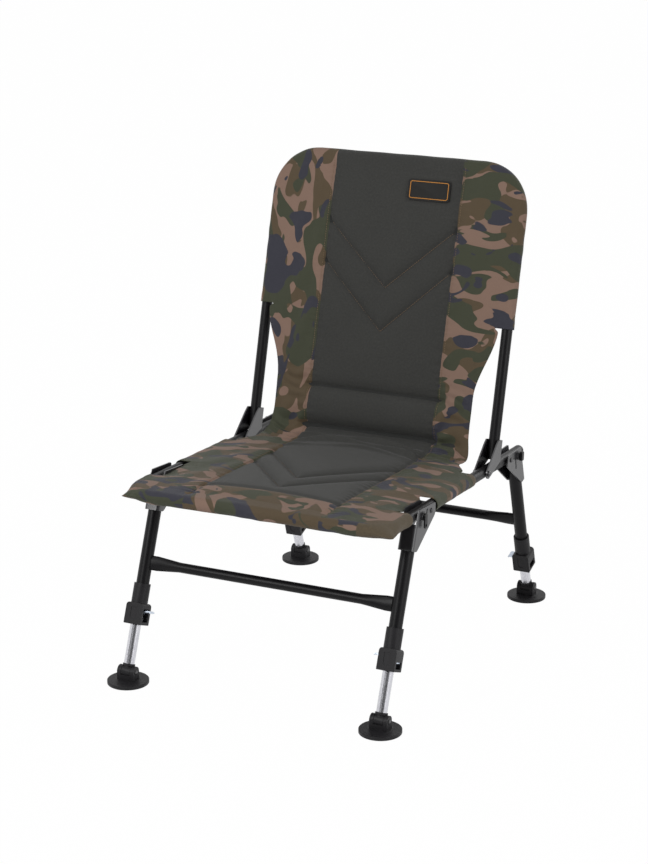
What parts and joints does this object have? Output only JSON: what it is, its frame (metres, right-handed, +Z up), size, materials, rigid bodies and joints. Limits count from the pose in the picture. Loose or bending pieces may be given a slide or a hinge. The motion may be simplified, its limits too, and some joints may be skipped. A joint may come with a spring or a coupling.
{
  "type": "folding fishing chair",
  "caption": "Low folding chair with padded cloth seat and back on bent tube hoops, folding leg frames, telescopic legs with lever locks and swivelling disc feet.",
  "frame": {"origin": "middle of the bounding box, on the ground under the feet", "axes": "+Z up, front of the seat towards -Y, +X to the sitter's left"},
  "size_m": [0.53, 0.7244, 0.8093],
  "materials": {
    "frame_paint": "satin black enamel on tube",
    "bracket_paint": "dark grey enamel on stamped steel, rivets and bolts",
    "chrome_tube": "bright plated tube",
    "moulded_plastic": "fine matt moulding",
    "zinc_plate": "blue zinc plating",
    "cover_cloth": "woven polyester in a traditional woodland pattern with dark panels",
    "patch_rubber": "soft matt rubber"
  },
  "bodies": {
    "seat_frame": {"seat_frame_tube": "frame_paint", "seat_cushion": "cover_cloth", "rail_end_cap_left": "moulded_plastic", "rail_end_cap_right": "moulded_plastic", "backrest_hinge_bolt_left": "bracket_paint", "backrest_hinge_bolt_right": "bracket_paint", "front_left_pivot_rivet": "bracket_paint", "front_right_pivot_rivet": "bracket_paint", "rear_left_pivot_rivet": "bracket_paint", "rear_right_pivot_rivet": "bracket_paint"},
    "backrest": {"backrest_tube": "frame_paint", "backrest_cushion": "cover_cloth", "badge_patch": "patch_rubber", "backrest_bracket_left": "bracket_paint", "backrest_bracket_right": "bracket_paint"},
    "front_leg_frame": {"front_crossbar": "frame_paint", "front_left_leg_bracket": "bracket_paint", "front_left_leg_tube": "frame_paint", "front_left_lock_housing": "moulded_plastic", "front_left_lock_spring": "zinc_plate", "front_right_leg_bracket": "bracket_paint", "front_right_leg_tube": "frame_paint", "front_right_lock_housing": "moulded_plastic", "front_right_lock_spring": "zinc_plate"},
    "rear_leg_frame": {"rear_crossbar": "frame_paint", "rear_left_leg_bracket": "bracket_paint", "rear_left_leg_tube": "frame_paint", "rear_left_lock_housing": "moulded_plastic", "rear_left_lock_spring": "zinc_plate", "rear_right_leg_bracket": "bracket_paint", "rear_right_leg_tube": "frame_paint", "rear_right_lock_housing": "moulded_plastic", "rear_right_lock_spring": "zinc_plate"},
    "front_left_extension": {"front_left_inner_leg": "chrome_tube", "front_left_foot_knuckle": "moulded_plastic"},
    "front_left_foot": {"front_left_foot_disc": "moulded_plastic", "front_left_foot_pin": "bracket_paint"},
    "front_left_release": {"front_left_lock_lever": "zinc_plate"},
    "front_left_plunger": {"front_left_lock_pin": "frame_paint"},
    "front_right_extension": {"front_right_inner_leg": "chrome_tube", "front_right_foot_knuckle": "moulded_plastic"},
    "front_right_foot": {"front_right_foot_disc": "moulded_plastic", "front_right_foot_pin": "bracket_paint"},
    "front_right_release": {"front_right_lock_lever": "zinc_plate"},
    "front_right_plunger": {"front_right_lock_pin": "frame_paint"},
    "rear_left_extension": {"rear_left_inner_leg": "chrome_tube", "rear_left_foot_knuckle": "moulded_plastic"},
    "rear_left_foot": {"rear_left_foot_disc": "moulded_plastic", "rear_left_foot_pin": "bracket_paint"},
    "rear_left_release": {"rear_left_lock_lever": "zinc_plate"},
    "rear_left_plunger": {"rear_left_lock_pin": "frame_paint"},
    "rear_right_extension": {"rear_right_inner_leg": "chrome_tube", "rear_right_foot_knuckle": "moulded_plastic"},
    "rear_right_foot": {"rear_right_foot_disc": "moulded_plastic", "rear_right_foot_pin": "bracket_paint"},
    "rear_right_release": {"rear_right_lock_lever": "zinc_plate"},
    "rear_right_plunger": {"rear_right_lock_pin": "frame_paint"}
  },
  "joints": [
    {"name": "backrest_fold", "type": "hinge", "parent": "seat_frame", "child": "backrest", "pos_m": [0, 0.09159, 0.3082], "axis": [1, 0, 0], "range_deg": [0, 100]},
    {"name": "front_legs_fold", "type": "hinge", "parent": "seat_frame", "child": "front_leg_frame", "pos_m": [0, -0.16205, 0.32176], "axis": [1, 0, 0], "range_deg": [0, 100]},
    {"name": "rear_legs_fold", "type": "hinge", "parent": "seat_frame", "child": "rear_leg_frame", "pos_m": [0, 0.19444, 0.3027], "axis": [1, 0, 0], "range_deg": [-100, 0]},
    {"name": "front_left_leg_slide", "type": "slide", "parent": "front_leg_frame", "child": "front_left_extension", "axis": [0, 0.3756, 0.9268], "range_m": [-0.078, 0.042]},
    {"name": "front_left_foot_swivel", "type": "hinge", "parent": "front_left_extension", "child": "front_left_foot", "pos_m": [-0.23, -0.32718, 0.02], "axis": [1, 0, 0], "range_deg": [-62, 18]},
    {"name": "front_left_lever_press", "type": "hinge", "parent": "front_leg_frame", "child": "front_left_release", "pos_m": [-0.244, -0.29206, 0.10667], "axis": [0, 0.9268, -0.3756], "range_deg": [0, 10], "stiffness_Nm_per_rad": 0.1, "springref_deg": -8.59},
    {"name": "front_left_lock_pull", "type": "slide", "parent": "front_leg_frame", "child": "front_left_plunger", "axis": [-1, 0, 0], "range_m": [0, 0.0075], "stiffness_N_per_m": 300, "springref_m": -0.005},
    {"name": "front_right_leg_slide", "type": "slide", "parent": "front_leg_frame", "child": "front_right_extension", "axis": [0, 0.3756, 0.9268], "range_m": [-0.078, 0.042]},
    {"name": "front_right_foot_swivel", "type": "hinge", "parent": "front_right_extension", "child": "front_right_foot", "pos_m": [0.23, -0.32718, 0.02], "axis": [1, 0, 0], "range_deg": [-62, 18]},
    {"name": "front_right_lever_press", "type": "hinge", "parent": "front_leg_frame", "child": "front_right_release", "pos_m": [0.244, -0.29206, 0.10667], "axis": [0, -0.9268, 0.3756], "range_deg": [0, 10], "stiffness_Nm_per_rad": 0.1, "springref_deg": -8.59},
    {"name": "front_right_lock_pull", "type": "slide", "parent": "front_leg_frame", "child": "front_right_plunger", "axis": [1, 0, 0], "range_m": [0, 0.0075], "stiffness_N_per_m": 300, "springref_m": -0.005},
    {"name": "rear_left_leg_slide", "type": "slide", "parent": "rear_leg_frame", "child": "rear_left_extension", "axis": [0, 0.308, -0.9514], "range_m": [-0.0085, 0.111]},
    {"name": "rear_left_foot_swivel", "type": "hinge", "parent": "rear_left_extension", "child": "rear_left_foot", "pos_m": [-0.23, 0.32718, 0.02], "axis": [1, 0, 0], "range_deg": [-22, 58]},
    {"name": "rear_left_lever_press", "type": "hinge", "parent": "rear_leg_frame", "child": "rear_left_release", "pos_m": [-0.244, 0.30861, 0.07736], "axis": [0, 0.9514, 0.308], "range_deg": [0, 10], "stiffness_Nm_per_rad": 0.1, "springref_deg": -8.59},
    {"name": "rear_left_lock_pull", "type": "slide", "parent": "rear_leg_frame", "child": "rear_left_plunger", "axis": [-1, 0, 0], "range_m": [0, 0.0075], "stiffness_N_per_m": 300, "springref_m": -0.005},
    {"name": "rear_right_leg_slide", "type": "slide", "parent": "rear_leg_frame", "child": "rear_right_extension", "axis": [0, 0.308, -0.9514], "range_m": [-0.0085, 0.111]},
    {"name": "rear_right_foot_swivel", "type": "hinge", "parent": "rear_right_extension", "child": "rear_right_foot", "pos_m": [0.23, 0.32718, 0.02], "axis": [1, 0, 0], "range_deg": [-22, 58]},
    {"name": "rear_right_lever_press", "type": "hinge", "parent": "rear_leg_frame", "child": "rear_right_release", "pos_m": [0.244, 0.30861, 0.07736], "axis": [0, -0.9514, -0.308], "range_deg": [0, 10], "stiffness_Nm_per_rad": 0.1, "springref_deg": -8.59},
    {"name": "rear_right_lock_pull", "type": "slide", "parent": "rear_leg_frame", "child": "rear_right_plunger", "axis": [1, 0, 0], "range_m": [0, 0.0075], "stiffness_N_per_m": 300, "springref_m": -0.005}
  ]
}
